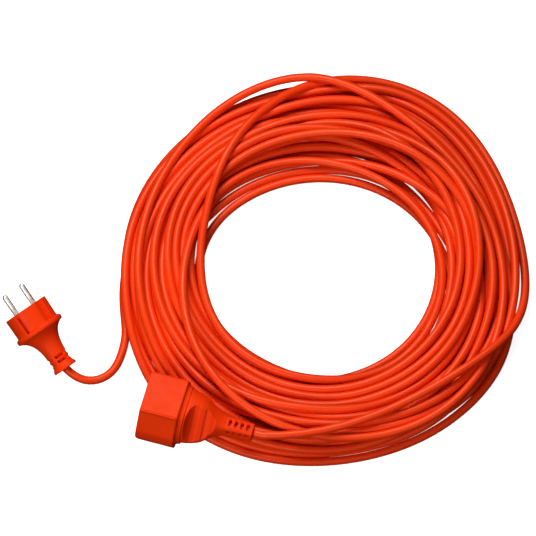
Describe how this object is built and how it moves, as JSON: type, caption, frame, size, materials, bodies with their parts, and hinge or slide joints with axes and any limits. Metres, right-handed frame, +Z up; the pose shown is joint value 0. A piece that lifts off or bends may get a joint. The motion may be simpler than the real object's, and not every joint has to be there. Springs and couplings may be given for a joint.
{
  "type": "extension cord",
  "caption": "Hand-coiled orange mains extension lead with a two-pin contour plug and a one-way coupler.",
  "frame": {"origin": "bottom centre of the box around the plug and the coupler, on the floor", "axes": "+X along the coupler's axis from its mouth to its tail, +Z up, +Y towards the coil's centre"},
  "size_m": [0.42, 0.3471, 0.057],
  "materials": {
    "orange_pvc": "satin soft PVC",
    "cream_insert": "moulded hard insert",
    "brown_core": "core insulation",
    "blue_core": "core insulation",
    "bare_copper": "bare stranded copper",
    "nickel_pin": "nickel plated brass",
    "brass_contact": "sprung brass",
    "spring_steel": "drawn wire"
  },
  "bodies": {
    "lead": {"plug_body": "orange_pvc", "plug_bridge": "cream_insert", "plug_pin_left": "nickel_pin", "plug_pin_right": "nickel_pin", "plug_crimp_left": "brass_contact", "plug_crimp_right": "brass_contact", "plug_strands_left": "bare_copper", "plug_strands_right": "bare_copper", "plug_core_brown": "brown_core", "plug_core_blue": "blue_core", "plug_sheath_end": "orange_pvc", "socket_housing": "orange_pvc", "contact_carrier": "cream_insert", "carrier_back": "cream_insert", "shutter_spring": "spring_steel", "contact_left": "brass_contact", "contact_right": "brass_contact", "socket_crimp_left": "brass_contact", "socket_crimp_right": "brass_contact", "socket_strands_left": "bare_copper", "socket_strands_right": "bare_copper", "socket_core_brown": "brown_core", "socket_core_blue": "blue_core", "socket_sheath_end": "orange_pvc", "cord_coil": "orange_pvc", "cord_lead_plug": "orange_pvc", "cord_lead_socket": "orange_pvc"},
    "shutter_plate": {"shutter": "cream_insert"}
  },
  "joints": [
    {"name": "shutter_slide", "type": "slide", "parent": "lead", "child": "shutter_plate", "axis": [0, 0.1994, 0.9799], "range_m": [0, 0.0069], "stiffness_N_per_m": 60, "springref_m": -0.002, "deforming": ["shutter_spring"]}
  ]
}
